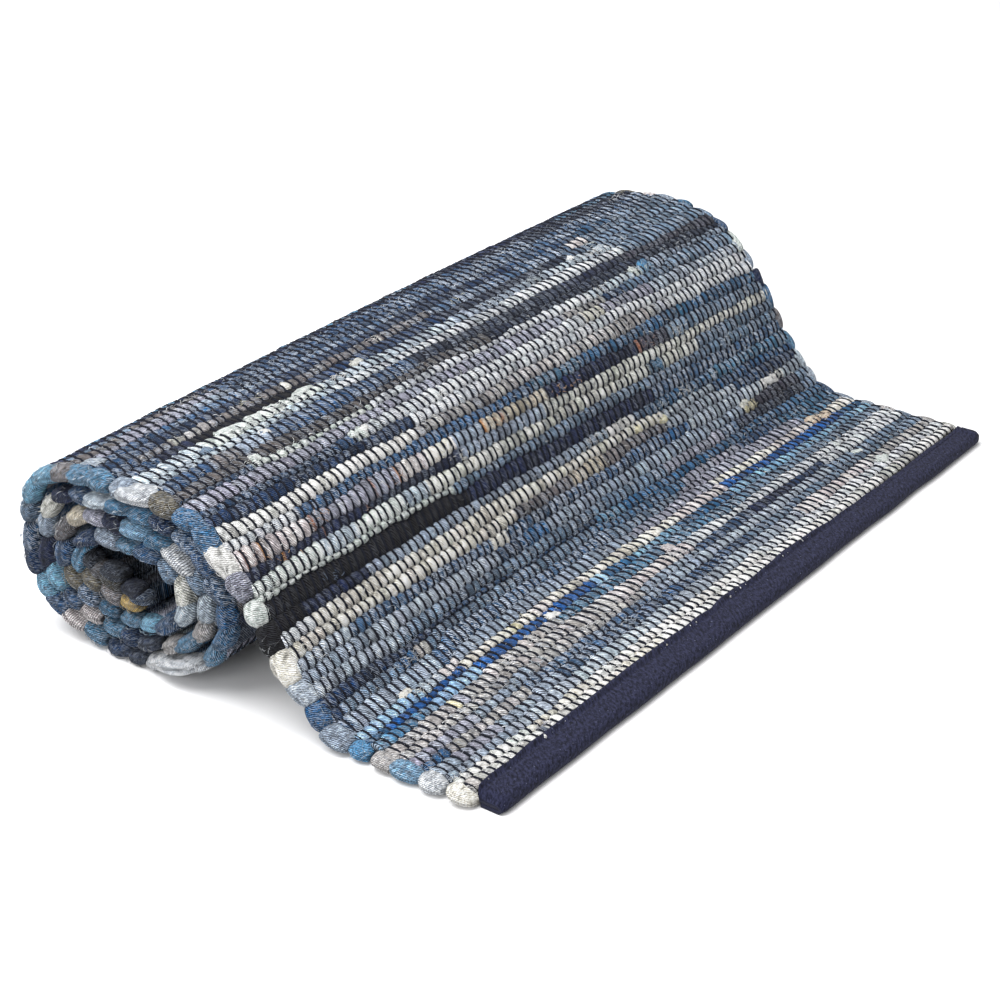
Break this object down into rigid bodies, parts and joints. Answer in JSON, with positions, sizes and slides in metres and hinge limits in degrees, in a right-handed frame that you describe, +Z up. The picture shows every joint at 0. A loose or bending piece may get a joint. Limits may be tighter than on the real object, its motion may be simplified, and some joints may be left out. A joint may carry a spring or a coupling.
{
  "type": "half rolled rag rug",
  "caption": "Hand-woven rag rug in mixed denim strips, its free end flat on the floor and bound with navy tape, the rest wound into a low oval roll.",
  "frame": {"origin": "middle of the bounding box on the floor that the rug lies on", "axes": "+X along the roll, from the end that shows its turns to the other end; +Y from the taped free end to the back of the roll; +Z up"},
  "size_m": [0.608, 0.377, 0.1376],
  "materials": {
    "denim_rag_weave": "matte",
    "navy_cotton_tape": "matte"
  },
  "bodies": {
    "root": {"rug_cloth": "denim_rag_weave", "end_binding": "navy_cotton_tape"}
  },
  "joints": []
}
